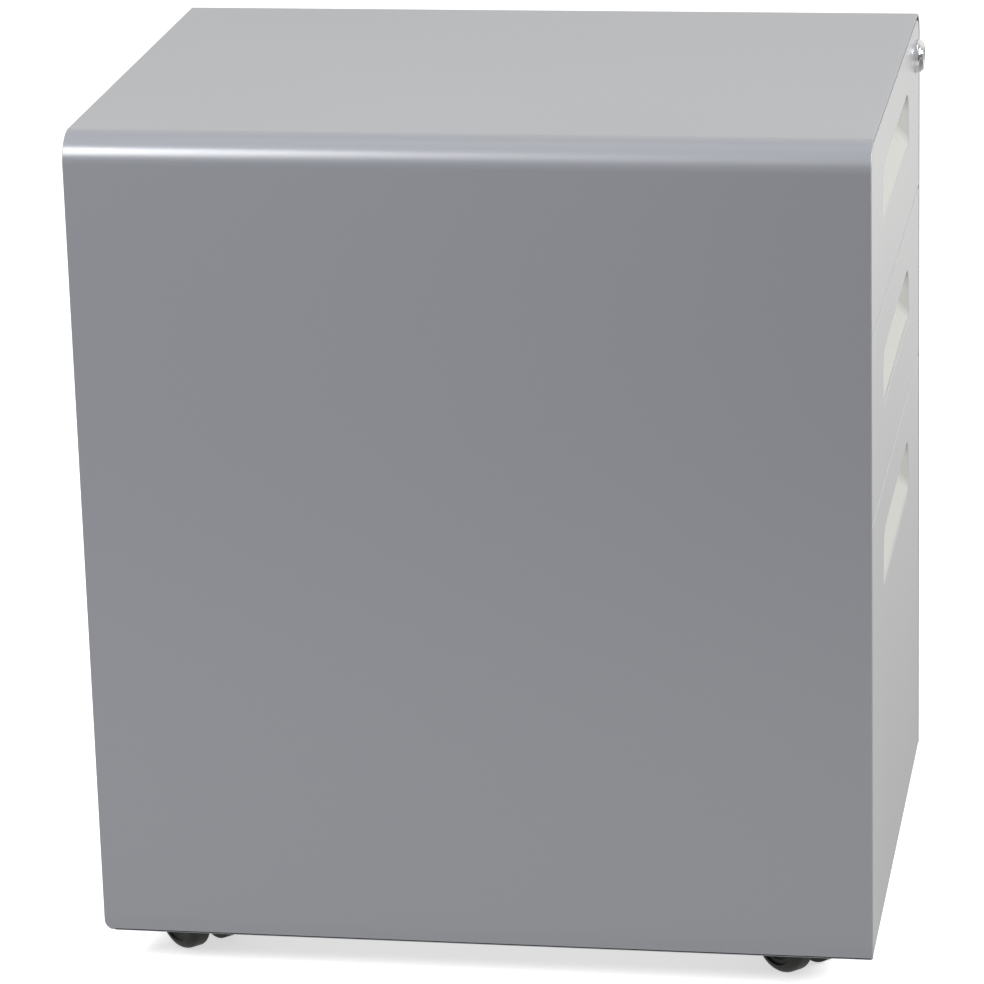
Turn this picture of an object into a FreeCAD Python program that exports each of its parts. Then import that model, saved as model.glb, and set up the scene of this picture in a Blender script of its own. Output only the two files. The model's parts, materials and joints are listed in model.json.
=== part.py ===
import FreeCAD, Part

import os
import re

import Sketcher

# A mobile filing cabinet: a bent steel case on four twin-wheel casters, with two box drawers
# and one file drawer on roller runners, recessed pulls and one lock that holds all drawers.
# X runs to the right seen from the front, Y to the rear and Z up. The origin is on the floor
# under the middle of the cabinet. Lengths are in millimetres and angles in degrees.

Vector = FreeCAD.Vector
UP = Vector(0, 0, 1)
REARWARD = Vector(0, 1, 0)
RIGHTWARD = Vector(1, 0, 0)

# How close two coordinates are to count as the same
TOUCH = 0.01

RIVETS_A_SIDE = 4
NUT_SIDES = 6

SIZES = {
    # Case
    "case_width": 400,
    "case_depth": 518,
    "case_height": 550,
    "floor_gap": 26,
    "sheet": 1,
    "bend_radius": 19.5,
    "front_hem": 12,
    "lower_hem": 10,
    "edge_round": 0.8,
    "rear_corner_radius": 7,
    # Back panel
    "back_inset": 1,
    "back_flange": 14,
    "back_sheet": 1.02,
    "rivet_radius": 3,
    "rivet_height": 1.3,
    "rivet_end_gap": 88,
    # Base pan
    "pan_sheet": 1.5,
    "pan_flange": 9,
    "pan_setback": 3,
    # Uprights and the rail under the top
    "upright_depth": 11,
    "upright_width": 30,
    "upright_sheet": 1.2,
    "upright_setback": 2,
    "upright_rear_margin": 46,
    "rail_width": 32,
    "rail_drop": 9,
    # Drawer fronts
    "drawer_gap": 2.5,
    "side_gap": 1.8,
    "top_gap": 2.6,
    "box_front_height": 121.5,
    "face_recess": 0.3,
    "front_depth": 17,
    "front_sheet": 1.01,
    "front_round": 2.2,
    "pull_width": 212,
    "pull_height": 38,
    "pull_drop": 32.5,
    "pull_depth": 14,
    "pull_corner": 9,
    "pull_floor_rise": 20,
    "pull_roof_rise": 5,
    "pull_end_taper": 12,
    "pull_overcut": 1,
    "pull_lip_round": 0.9,
    # Drawer boxes
    "box_sheet": 1.03,
    "box_rise": 8,
    "box_headroom": 35.5,
    "file_headroom": 28.9,
    "box_floor_gap": 3,
    "box_corner_radius": 4,
    "box_rim": 5,
    "file_rail_spacing": 330,
    "file_rail_height": 14,
    "file_rail_sheet": 2.2,
    # Roller runners
    "runner_space": 12.8,
    "runner_rear_gap": 34,
    "runner_sheet": 1.21,
    "runner_lift": 2,
    "runner_side_gap": 1,
    "channel_lip_gap": 0.6,
    "runner_foot": 8,
    "roller_radius": 7,
    "roller_width": 8,
    "roller_play": 0.3,
    "roller_pin_radius": 2,
    "roller_pin_head_radius": 3.2,
    "roller_pin_head": 0.6,
    "bearing_play": 0.08,
    "front_roller_inset": 9,
    "rear_roller_inset": 12,
    "runner_overlap": 100,
    "stop_height": 4.5,
    "stop_thickness": 3,
    # Lock
    "lock_side": 33,
    "lock_drop": 26.6,
    "bezel_radius": 11.7,
    "bezel_height": 5.8,
    "bezel_round": 2.6,
    "barrel_radius": 9.5,
    "plug_radius": 6,
    "plug_recess": 0.5,
    "key_slot_height": 7,
    "key_slot_width": 1.4,
    "key_slot_depth": 6,
    "lock_nut_radius": 14,
    "lock_nut_height": 3.5,
    "cam_thickness": 2,
    "cam_margin": 8,
    "cam_corner": 5,
    "crank_throw": 8,
    "crank_pin_radius": 1.9,
    "crank_pin_length": 6,
    "crank_pin_margin": 1.5,
    "lock_turn": 90,
    # Lock bar
    "lock_zone": 24,
    "bar_width": 20,
    "bar_sheet": 2.01,
    "bar_front_gap": 2,
    "bar_side_gap": 1.5,
    "bar_play": 0.4,
    "bar_head": 6,
    "bar_tail": 16,
    "driver_reach": 31,
    "driver_edge": 3,
    "catch_radius": 2.5,
    "catch_inset": 12,
    "catch_play": 0.7,
    "catch_head_radius": 4.5,
    "catch_head": 0.9,
    "catch_tip": 1.1,
    "box_catch_drop": 26,
    "file_catch_drop": 86,
    "guide_height": 14,
    "guide_wall": 1.6,
    "guide_rise": 40,
    # Casters
    "caster_side": 58,
    "caster_front": 62.2,
    "caster_rear": 47,
    "caster_height": 59,
    "caster_turn": 45,
    "caster_trail": 13,
    "wheel_radius": 25,
    "wheel_width": 13.6,
    "wheel_spacing": 17.2,
    "wheel_rim": 6.5,
    "wheel_web": 3,
    "wheel_hub_radius": 8,
    "wheel_round": 6,
    "wheel_face_inset": 1.6,
    "axle_radius": 3,
    "axle_head_radius": 5,
    "axle_head": 0.9,
    "hood_gap": 1.1,
    "hood_wall": 2.05,
    "hood_sweep": 140,
    "hood_round": 1.6,
    "hood_side_inset": 2.4,
    "hood_web": 14,
    "web_margin": 1,
    "boss_radius": 8,
    "stem_radius": 4,
    "stem_depth": 22,
    "stem_flange_radius": 9.5,
    "stem_flange": 1.6,
    "stem_nut_radius": 7.5,
    "stem_nut_height": 4,
    "stem_tip": 1.5,
    "fixed_play": 0.02,
}

LAYOUT = {
    # Outer faces of the case
    "half_width": "case_width / 2",
    "lock_reach": "bezel_height - face_recess",
    "front_edge": "-(case_depth - lock_reach) / 2",
    "rear_edge": "front_edge + case_depth",
    "case_top": "floor_gap + case_height",
    "inner_half": "half_width - sheet",
    "inner_top": "case_top - sheet",
    "inner_bend": "bend_radius - sheet",
    # Drawer fronts
    "face_y": "front_edge + face_recess",
    "liner_y": "face_y + front_depth",
    "front_half": "inner_half - sheet - side_gap",
    "front_bend": "bend_radius - 2 * sheet - side_gap",
    "file_front_height": "case_height - 2 * sheet - top_gap - 2 * drawer_gap - 2 * box_front_height",
    "file_front_low": "floor_gap",
    "middle_front_low": "file_front_low + file_front_height + drawer_gap",
    "top_front_low": "middle_front_low + box_front_height + drawer_gap",
    # Base pan
    "pan_low": "caster_height",
    "pan_top": "caster_height + pan_sheet",
    "pan_front": "liner_y + pan_setback",
    "back_y": "rear_edge - back_inset",
    "pan_depth": "back_y - pan_front",
    # Uprights and runners
    "upright_face": "inner_half - upright_depth",
    "runner_front": "liner_y + lock_zone",
    "runner_length": "back_y - runner_rear_gap - runner_front",
    "drawer_travel": "runner_length - runner_overlap",
    "upright_front": "runner_front + upright_setback",
    "upright_rear": "rear_edge - upright_rear_margin - upright_width",
    "upright_height": "case_top - bend_radius - pan_top",
    "box_half": "upright_face - runner_space",
    "box_depth": "lock_zone + runner_length",
    "flange_under": "2 * roller_radius + 3 * roller_play",
    "flange_top": "flange_under + runner_sheet",
    "channel_height": "flange_top + 2 * roller_play",
    "case_roller_rise": "roller_radius + 2 * roller_play",
    "drawer_roller_rise": "roller_radius + roller_play",
    "drawer_flange_top": "runner_lift + flange_top",
    "pin_reach": "2 * roller_play + roller_width + roller_play",
    "roller_start": "runner_sheet + roller_play",
    # Drawer boxes
    "file_box_low": "pan_top + stem_nut_height + stem_tip + box_floor_gap",
    "middle_box_low": "middle_front_low + box_rise",
    "top_box_low": "top_front_low + box_rise",
    "box_side_height": "box_front_height - box_rise - box_headroom",
    "file_side_height": "middle_box_low - file_box_low - file_headroom",
    # Lock
    "lock_x": "half_width - lock_side",
    "lock_z": "case_top - lock_drop",
    "cam_y": "front_depth + lock_nut_height + roller_play",
    "crank_rise": "crank_throw * sin(lock_turn / 2 * 1deg)",
    "bar_lift": "2 * crank_rise",
    # Lock bar
    "bar_x": "upright_face + bar_side_gap",
    "catch_length": "runner_space + bar_side_gap + bar_sheet + catch_tip",
    "bar_y": "liner_y + bar_front_gap",
    "catch_y": "catch_inset - bar_front_gap",
    "notch_half": "catch_radius + catch_play",
    "file_catch_z": "file_box_low + file_side_height - file_catch_drop",
    "middle_catch_z": "middle_box_low + box_side_height - box_catch_drop",
    "top_catch_z": "top_box_low + box_side_height - box_catch_drop",
    "bar_low": "file_catch_z - bar_lift - bar_tail",
    "bar_high": "lock_z + bar_head",
    "driver_slot_half": "crank_pin_radius + bar_play",
    "driver_z": "lock_z - crank_rise",
    "driver_y": "face_y + cam_y + cam_thickness + crank_pin_length / 2 - bar_y - bar_sheet / 2",
    # Casters
    "caster_x": "half_width - caster_side",
    "caster_front_y": "front_edge + caster_front",
    "caster_rear_y": "rear_edge - caster_rear",
    "wheel_inner": "wheel_spacing / 2",
    "wheel_outer": "wheel_inner + wheel_width",
    "hub_outer": "wheel_width - wheel_face_inset",
    "hood_half": "wheel_outer - hood_side_inset",
    "web_low": "boss_radius / 2",
    "web_half": "wheel_hub_radius + web_margin",
    "boss_top": "caster_height - stem_flange - roller_play - wheel_radius",
}

document = FreeCAD.newDocument("mobile_filing_cabinet")
nodes = []


def make_sheet(name, cells):
    """A sheet with one named cell a line."""
    sheet = document.addObject("Spreadsheet::Sheet", name)
    for row, (alias, content) in enumerate(cells.items(), start=1):
        sheet.set(f"A{row}", alias)
        sheet.set(f"B{row}", content)
        sheet.setAlias(f"B{row}", alias)
    document.recompute()
    return sheet


def bind(text):
    """Turn a formula's plain words into the cells that hold them."""
    def cell(match):
        word = match.group(0)
        if word in SIZES:
            return "Sizes." + word
        if word in LAYOUT:
            return "Layout." + word
        return word

    return re.sub(r"(?<![0-9])[a-z][a-z_]+", cell, text)


sizes = make_sheet("Sizes", {name: str(value) for name, value in SIZES.items()})
layout = make_sheet("Layout", {name: "=" + bind(text) for name, text in LAYOUT.items()})


def number(text):
    """The present value of a formula."""
    value = sizes.evalExpression(bind(text))
    return float(getattr(value, "Value", value))


def drive(thing, path, text):
    """Tie one property to a formula."""
    thing.setExpression(path, bind(text))


def place(thing, x="0", y="0", z="0", axis=None, turn="0"):
    """Set where a piece stands, turned about an axis."""
    if axis is not None:
        thing.Placement = FreeCAD.Placement(Vector(), FreeCAD.Rotation(axis, number(turn)))
        drive(thing, "Placement.Rotation.Angle", turn)
    drive(thing, "Placement.Base.x", x)
    drive(thing, "Placement.Base.y", y)
    drive(thing, "Placement.Base.z", z)
    return thing


def new_body(name):
    body = document.addObject("PartDesign::Body", name)
    body.Label = name
    return body


def new_sketch(body, role, offset="0"):
    """A sketch on one of the body's own planes, moved along the plane's normal."""
    sketch = body.newObject("Sketcher::SketchObject", body.Name + "_sketch")
    plane = [entry for entry in body.Origin.OriginFeatures if entry.Role == role][0]
    sketch.AttachmentSupport = (plane, [""])
    sketch.MapMode = "FlatFace"
    if offset != "0":
        drive(sketch, "AttachmentOffset.Base.z", offset)
    return sketch


def pin_down(sketch, kind, edge, point, text):
    """Hold one coordinate of a point at a formula's value."""
    if text == "0":
        axis = -2 if kind == "DistanceX" else -1
        sketch.addConstraint(Sketcher.Constraint("PointOnObject", edge, point, axis))
        return
    index = sketch.addConstraint(Sketcher.Constraint(kind, -1, 1, edge, point, number(text)))
    drive(sketch, f"Constraints[{index}]", text)


def draw_polygon(sketch, corners):
    """A closed outline of straight lines, each corner held at its own place."""
    points = [Vector(number(x), number(y), 0) for x, y in corners]
    count = len(points)
    first = sketch.GeometryCount
    for index in range(count):
        sketch.addGeometry(Part.LineSegment(points[index], points[(index + 1) % count]), False)
    for index, (x, y) in enumerate(corners):
        edge = first + index
        after = first + (index + 1) % count
        sketch.addConstraint(Sketcher.Constraint("Coincident", edge, 2, after, 1))
        pin_down(sketch, "DistanceX", edge, 1, x)
        pin_down(sketch, "DistanceY", edge, 1, y)


def draw_square_outline(sketch, corners):
    """A closed outline of level and upright lines, whose corners may be rounded."""
    count = len(corners)
    points = [Vector(number(corner[0]), number(corner[1]), 0) for corner in corners]
    radii = [corner[2] if len(corner) > 2 else None for corner in corners]
    lengths = [number(radius) if radius else 0 for radius in radii]
    lines = []
    for index in range(count):
        after = (index + 1) % count
        along = (points[after] - points[index]).normalize()
        start = points[index] + along * lengths[index]
        end = points[after] - along * lengths[after]
        lines.append(sketch.addGeometry(Part.LineSegment(start, end), False))
    for index in range(count):
        upright = corners[index][0] == corners[(index + 1) % count][0]
        sketch.addConstraint(Sketcher.Constraint("Vertical" if upright else "Horizontal", lines[index]))
        if upright:
            pin_down(sketch, "DistanceX", lines[index], 1, corners[index][0])
        else:
            pin_down(sketch, "DistanceY", lines[index], 1, corners[index][1])
    for index in range(count):
        before = lines[index - 1]
        after = lines[index]
        if radii[index] is None:
            sketch.addConstraint(Sketcher.Constraint("Coincident", before, 2, after, 1))
            continue
        draw_corner(sketch, before, after, points[index - 1], points[index],
                    points[(index + 1) % count], radii[index])


def draw_corner(sketch, before, after, previous, corner, following, radius):
    """An arc that rounds the corner between two lines."""
    inward = (corner - previous).normalize()
    outward = (following - corner).normalize()
    size = number(radius)
    centre = corner - inward * size + outward * size
    turns_left = inward.x * outward.y - inward.y * outward.x > 0
    ends = [corner - inward * size, corner + outward * size]
    middle = centre + (corner - centre).normalize() * size
    if not turns_left:
        ends.reverse()
    arc = sketch.addGeometry(Part.Arc(ends[0], middle, ends[1]), False)
    first, second = (1, 2) if turns_left else (2, 1)
    sketch.addConstraint(Sketcher.Constraint("Tangent", before, 2, arc, first))
    sketch.addConstraint(Sketcher.Constraint("Tangent", arc, second, after, 1))
    index = sketch.addConstraint(Sketcher.Constraint("Radius", arc, size))
    drive(sketch, f"Constraints[{index}]", radius)


def draw_box(sketch, left, right, low, high, radius=None):
    """A rectangle, with rounded corners if it has a radius."""
    corners = [(left, low), (right, low), (right, high), (left, high)]
    if radius:
        corners = [corner + (radius,) for corner in corners]
    draw_square_outline(sketch, corners)


def draw_circle(sketch, x, y, radius):
    circle = Part.Circle(Vector(number(x), number(y), 0), UP, number(radius))
    edge = sketch.addGeometry(circle, False)
    index = sketch.addConstraint(Sketcher.Constraint("Radius", edge, number(radius)))
    drive(sketch, f"Constraints[{index}]", radius)
    pin_down(sketch, "DistanceX", edge, 3, x)
    pin_down(sketch, "DistanceY", edge, 3, y)


def feature(body, kind, sketch, length, back=False, middle=False):
    """A pad or a pocket of a sketch; back turns its direction round."""
    result = body.newObject("PartDesign::" + kind, body.Name + "_" + kind.lower())
    result.Profile = sketch
    drive(result, "Length", length)
    result.Reversed = back
    if middle:
        result.Midplane = True
    body.Tip = result
    return result


def turn_solid(body, sketch, angle="360", back=False):
    """A solid turned from a sketch about the sketch's upright axis."""
    result = body.newObject("PartDesign::Revolution", body.Name + "_revolution")
    result.Profile = sketch
    result.ReferenceAxis = (sketch, ["V_Axis"])
    drive(result, "Angle", angle)
    result.Reversed = back
    body.Tip = result
    return result


def round_edges(body, radius, chosen):
    """Round the edges that a test picks by their box."""
    document.recompute()
    base = body.Tip
    names = []
    for index, edge in enumerate(base.Shape.Edges, start=1):
        if chosen(edge.BoundBox):
            names.append(f"Edge{index}")
    if not names:
        raise ValueError(f"{body.Label} has no edge to round")
    result = body.newObject("PartDesign::Fillet", body.Name + "_fillet")
    result.Base = (base, names)
    drive(result, "Radius", radius)
    body.Tip = result
    return result


def near(value, text):
    """Whether a coordinate is at a formula's value."""
    return abs(value - number(text)) < TOUCH


def cylinder(name, radius, height, x="0", y="0", z="0", axis=None, turn="0"):
    rod = document.addObject("Part::Cylinder", name)
    drive(rod, "Radius", radius)
    drive(rod, "Height", height)
    return place(rod, x, y, z, axis, turn)


def join(name, pieces):
    """Pieces that are one solid."""
    result = document.addObject("Part::MultiFuse", name)
    result.Shapes = pieces
    result.Refine = True
    return result


def mirror(source, name):
    """The left-hand twin of a right-hand piece."""
    result = document.addObject("Part::Mirroring", name)
    result.Source = source
    result.Normal = RIGHTWARD
    return result


def group(name, pieces):
    """Alike pieces that share one node as separate solids."""
    result = document.addObject("Part::Compound", name)
    result.Links = pieces
    return result


def keep(thing, name):
    """Name a finished piece and list it."""
    thing.Label = name
    nodes.append(thing)
    return thing


def make_case_wrap():
    """The top and both sides, bent from one sheet, with hemmed front and lower edges."""
    body = new_body("case_wrap")
    shell = new_sketch(body, "XZ_Plane")
    draw_square_outline(shell, [
        ("-half_width", "0"), ("-inner_half", "0"),
        ("-inner_half", "case_height - sheet", "inner_bend"),
        ("inner_half", "case_height - sheet", "inner_bend"), ("inner_half", "0"),
        ("half_width", "0"), ("half_width", "case_height", "bend_radius"),
        ("-half_width", "case_height", "bend_radius")])
    feature(body, "Pad", shell, "case_depth", back=True)
    hem = new_sketch(body, "XZ_Plane")
    hem_half = "inner_half - sheet"
    hem_top = "case_height - 2 * sheet"
    draw_square_outline(hem, [
        ("-inner_half", "0"), ("-(" + hem_half + ")", "0"),
        ("-(" + hem_half + ")", hem_top, "inner_bend - sheet"),
        (hem_half, hem_top, "inner_bend - sheet"), (hem_half, "0"),
        ("inner_half", "0"), ("inner_half", "case_height - sheet", "inner_bend"),
        ("-inner_half", "case_height - sheet", "inner_bend")])
    feature(body, "Pad", hem, "front_hem", back=True)
    for side in ("-", ""):
        lower = new_sketch(body, "XZ_Plane")
        outer = side + "inner_half"
        inner = side + "(" + hem_half + ")"
        draw_square_outline(lower, [
            (outer, "0"), (inner, "0"), (inner, "lower_hem"), (outer, "lower_hem")])
        feature(body, "Pad", lower, "case_depth", back=True)
    bend = number("bend_radius")
    round_edges(body, "rear_corner_radius", lambda box: near(box.ZMax, "0") and near(box.YMin, "case_depth"))
    round_edges(body, "edge_round", lambda box: near(box.YMax, "0") and box.XLength + box.ZLength > bend)
    place(body, "0", "front_edge", "floor_gap")
    keep(body, "case_wrap")


def make_back_panel():
    """The back, with a flange all round that lies on the inside of the wrap."""
    body = new_body("back_panel")
    outline = new_sketch(body, "XZ_Plane")
    height = "inner_top - pan_top"
    draw_square_outline(outline, [
        ("-inner_half", "0"), ("inner_half", "0"),
        ("inner_half", height, "inner_bend"), ("-inner_half", height, "inner_bend")])
    feature(body, "Pad", outline, "back_flange")
    hollow = new_sketch(body, "XZ_Plane", "back_sheet")
    wall = "inner_half - back_sheet"
    draw_square_outline(hollow, [
        ("-(" + wall + ")", "back_sheet"), (wall, "back_sheet"),
        (wall, height + " - back_sheet", "inner_bend - back_sheet"),
        ("-(" + wall + ")", height + " - back_sheet", "inner_bend - back_sheet")])
    feature(body, "Pocket", hollow, "back_flange", back=True)
    place(body, "0", "back_y", "pan_top")
    keep(body, "back_panel")


def make_back_rivets():
    """Rivets through the wrap's sides into the back panel's flange."""
    rivets = []
    middle = "back_y - back_flange / 2"
    for step in range(RIVETS_A_SIDE):
        share = step / (RIVETS_A_SIDE - 1)
        height = f"case_top - rivet_end_gap - {share} * (case_height - 2 * rivet_end_gap)"
        rivets.append(cylinder("back_rivet", "rivet_radius", "rivet_height",
                               "inner_half - back_sheet - rivet_height", middle, height, REARWARD, "90"))
    twins = [mirror(rivet, "back_rivet_twin") for rivet in rivets]
    keep(group("back_panel_rivets", rivets + twins), "back_panel_rivets")


def make_base_pan():
    """The floor of the case, a tray turned down at its edges, with a hole for each caster stem."""
    body = new_body("base_pan")
    outline = new_sketch(body, "XY_Plane", "-pan_flange")
    draw_box(outline, "-inner_half", "inner_half", "0", "pan_depth")
    feature(body, "Pad", outline, "pan_flange + pan_sheet")
    hollow = new_sketch(body, "XY_Plane", "-pan_flange")
    wall = "inner_half - pan_sheet"
    draw_box(hollow, "-(" + wall + ")", wall, "pan_sheet", "pan_depth - pan_sheet")
    feature(body, "Pocket", hollow, "pan_flange", back=True)
    holes = new_sketch(body, "XY_Plane", "pan_sheet")
    for x in ("-caster_x", "caster_x"):
        for y in ("caster_front_y", "caster_rear_y"):
            draw_circle(holes, x, y + " - pan_front", "stem_radius + fixed_play")
    feature(body, "Pocket", holes, "pan_sheet")
    place(body, "0", "pan_front", "pan_low")
    keep(body, "base_pan")


def make_top_rail():
    """The stiffener under the top, a channel that opens upwards."""
    body = new_body("top_rail")
    section = new_sketch(body, "YZ_Plane")
    draw_square_outline(section, [
        ("0", "0"), ("0", "-rail_drop"), ("rail_width", "-rail_drop"), ("rail_width", "0"),
        ("rail_width - upright_sheet", "0"), ("rail_width - upright_sheet", "upright_sheet - rail_drop"),
        ("upright_sheet", "upright_sheet - rail_drop"), ("upright_sheet", "0")])
    feature(body, "Pad", section, "2 * (half_width - bend_radius)", middle=True)
    place(body, "0", "runner_front", "inner_top")
    keep(body, "top_rail")


def make_uprights():
    """Four channels on the sides that carry the runners, open towards the side sheet."""
    for end in ("front", "rear"):
        body = new_body("upright_" + end + "_right")
        section = new_sketch(body, "XY_Plane")
        face = "-upright_depth"
        web = "upright_sheet - upright_depth"
        draw_square_outline(section, [
            ("0", "0"), (face, "0"), (face, "upright_width"), ("0", "upright_width"),
            ("0", "upright_width - upright_sheet"), (web, "upright_width - upright_sheet"),
            (web, "upright_sheet"), ("0", "upright_sheet")])
        feature(body, "Pad", section, "upright_height")
        place(body, "inner_half", "upright_" + end, "pan_top")
        keep(body, "upright_" + end + "_right")
        keep(mirror(body, "upright_" + end + "_left"), "upright_" + end + "_left")


def make_case_runners(drawer):
    """A pair of channels on the uprights, each with its front roller's pin and the end stop."""
    body = new_body(drawer + "_case_runner")
    section = new_sketch(body, "XZ_Plane")
    edge = "-(runner_space - runner_sheet - channel_lip_gap)"
    draw_square_outline(section, [
        ("0", "-runner_sheet"), ("0", "channel_height + runner_sheet"),
        (edge, "channel_height + runner_sheet"), (edge, "channel_height"),
        ("-runner_sheet", "channel_height"), ("-runner_sheet", "0"), (edge, "0"), (edge, "-runner_sheet")])
    feature(body, "Pad", section, "runner_length", back=True)
    pin = new_sketch(body, "YZ_Plane", "-runner_sheet")
    draw_circle(pin, "front_roller_inset", "case_roller_rise", "roller_pin_radius")
    feature(body, "Pad", pin, "pin_reach", back=True)
    head = new_sketch(body, "YZ_Plane", "-runner_sheet - pin_reach")
    draw_circle(head, "front_roller_inset", "case_roller_rise", "roller_pin_head_radius")
    feature(body, "Pad", head, "roller_pin_head", back=True)
    stop = new_sketch(body, "YZ_Plane", "-runner_sheet")
    reach = "runner_length - rear_roller_inset - drawer_travel - roller_radius"
    draw_box(stop, reach + " - stop_thickness", reach, "0", "stop_height")
    feature(body, "Pad", stop, "roller_width", back=True)
    place(body, "upright_face", "runner_front", drawer + "_box_low + runner_lift")
    twin = mirror(body, drawer + "_case_runner_twin")
    keep(group(drawer + "_case_runners", [body, twin]), drawer + "_case_runners")


def make_rollers(name, x, y, z):
    """A pair of nylon rollers on the runners' pins."""
    body = new_body(name + "_right")
    section = new_sketch(body, "YZ_Plane")
    draw_circle(section, "0", "0", "roller_radius")
    draw_circle(section, "0", "0", "roller_pin_radius + bearing_play")
    feature(body, "Pad", section, "roller_width", back=True)
    place(body, x, y, z)
    keep(group(name, [body, mirror(body, name + "_twin")]), name)


def draw_front(sketch, height, wall, bend):
    """A front's outline, whose upper corners may follow the bends of the wrap."""
    half = "front_half - " + wall
    high = height + " - " + wall
    corner = (bend + " - " + wall,) if bend else ()
    draw_square_outline(sketch, [
        ("-(" + half + ")", wall), (half, wall), (half, high) + corner, ("-(" + half + ")", high) + corner])


def make_drawer_front(drawer, height, low, locked, bend):
    """The pressed steel front with its scooped pull."""
    body = new_body(drawer + "_drawer_front")
    face = new_sketch(body, "XZ_Plane")
    draw_front(face, height, "0", bend)
    feature(body, "Pad", face, "front_depth", back=True)
    round_edges(body, "front_round", lambda box: near(box.YMax, "0"))
    hollow = new_sketch(body, "XZ_Plane", "-front_sheet")
    draw_front(hollow, height, "front_sheet", bend)
    feature(body, "Pocket", hollow, "front_depth")
    scoop(body, height, "front_sheet", "AdditiveLoft")
    scoop(body, height, "0", "SubtractiveLoft")
    mouth_low = number(height + " - pull_drop - pull_height")
    mouth_high = number(height + " - pull_drop + pull_roof_rise")
    round_edges(body, "pull_lip_round", lambda box: near(box.YMin, "0") and near(box.YMax, "0")
                and box.ZMin > mouth_low and box.ZMax < mouth_high)
    if locked:
        hole = new_sketch(body, "XZ_Plane")
        draw_circle(hole, "lock_x", "lock_z - " + low, "barrel_radius + fixed_play")
        feature(body, "Pocket", hole, "2 * front_sheet")
    place(body, "0", "face_y", low)
    keep(body, drawer + "_drawer_front")


def scoop(body, height, wall, kind):
    """One skin of the pull: a rounded window that leans upwards as it goes in."""
    half = "pull_width / 2 + " + wall
    low = height + " - pull_drop - pull_height - " + wall
    high = height + " - pull_drop + " + wall
    mouth = new_sketch(body, "XZ_Plane", "-front_sheet / 2" if kind == "AdditiveLoft" else "pull_overcut")
    corner = "pull_corner + " + wall
    draw_box(mouth, "-(" + half + ")", half, low, high, corner)
    deep = new_sketch(body, "XZ_Plane", "-pull_depth - " + wall)
    inner = half + " - pull_end_taper"
    draw_box(deep, "-(" + inner + ")", inner, low + " + pull_floor_rise", high + " + pull_roof_rise", corner)
    loft = body.newObject("PartDesign::" + kind, body.Name + "_" + kind.lower())
    loft.Profile = mouth
    loft.Sections = [deep]
    body.Tip = loft


def make_drawer_liner(drawer, height, low, locked, bend):
    """The plate that closes the back of a drawer front."""
    body = new_body(drawer + "_drawer_liner")
    plate = new_sketch(body, "XZ_Plane")
    draw_front(plate, height, "front_sheet", bend)
    feature(body, "Pad", plate, "front_sheet")
    if locked:
        hole = new_sketch(body, "XZ_Plane", "front_sheet")
        draw_circle(hole, "lock_x", "lock_z - " + low, "barrel_radius + fixed_play")
        feature(body, "Pocket", hole, "front_sheet")
    place(body, "0", "liner_y", low)
    keep(body, drawer + "_drawer_liner")


def make_drawer_box(drawer, side_height):
    """The drawer's tray, open at the top, with a rim turned inwards."""
    body = new_body(drawer + "_drawer_box")
    outline = new_sketch(body, "XY_Plane")
    draw_box(outline, "-box_half", "box_half", "0", "box_depth")
    feature(body, "Pad", outline, side_height)
    hollow = new_sketch(body, "XY_Plane", "box_sheet")
    wall = "box_half - box_sheet"
    draw_box(hollow, "-(" + wall + ")", wall, "box_sheet", "box_depth - box_sheet")
    feature(body, "Pocket", hollow, side_height + " - 2 * box_sheet", back=True)
    mouth = new_sketch(body, "XY_Plane", "box_sheet")
    rim = "box_half - box_rim"
    draw_box(mouth, "-(" + rim + ")", rim, "box_rim", "box_depth - box_rim", "box_corner_radius")
    feature(body, "Pocket", mouth, side_height, back=True)
    place(body, "0", "liner_y", drawer + "_box_low")
    keep(body, drawer + "_drawer_box")


def make_drawer_runners(drawer):
    """A pair of rails under and beside the box, each with its rear roller's pin."""
    body = new_body(drawer + "_drawer_runner")
    section = new_sketch(body, "XZ_Plane")
    edge = "runner_space - runner_sheet - runner_side_gap"
    draw_square_outline(section, [
        ("-runner_foot", "-runner_sheet"), ("runner_sheet", "-runner_sheet"),
        ("runner_sheet", "drawer_flange_top - runner_sheet"), (edge, "drawer_flange_top - runner_sheet"),
        (edge, "drawer_flange_top"), ("0", "drawer_flange_top"), ("0", "0"), ("-runner_foot", "0")])
    feature(body, "Pad", section, "box_depth", back=True)
    rise = "runner_lift + drawer_roller_rise"
    y = "box_depth - rear_roller_inset"
    pin = new_sketch(body, "YZ_Plane", "runner_sheet")
    draw_circle(pin, y, rise, "roller_pin_radius")
    feature(body, "Pad", pin, "pin_reach")
    head = new_sketch(body, "YZ_Plane", "runner_sheet + pin_reach")
    draw_circle(head, y, rise, "roller_pin_head_radius")
    feature(body, "Pad", head, "roller_pin_head")
    place(body, "box_half", "liner_y", drawer + "_box_low")
    twin = mirror(body, drawer + "_drawer_runner_twin")
    keep(group(drawer + "_drawer_runners", [body, twin]), drawer + "_drawer_runners")


def make_catch(drawer):
    """The stud on the box's right side that the lock bar holds."""
    stud = cylinder(drawer + "_catch_stud", "catch_radius", "catch_length",
                    "box_half", "liner_y + catch_inset", drawer + "_catch_z", REARWARD, "90")
    head = cylinder(drawer + "_catch_head", "catch_head_radius", "catch_head",
                    "box_half", "liner_y + catch_inset", drawer + "_catch_z", REARWARD, "90")
    keep(join(drawer + "_lock_catch", [stud, head]), drawer + "_lock_catch")


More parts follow.
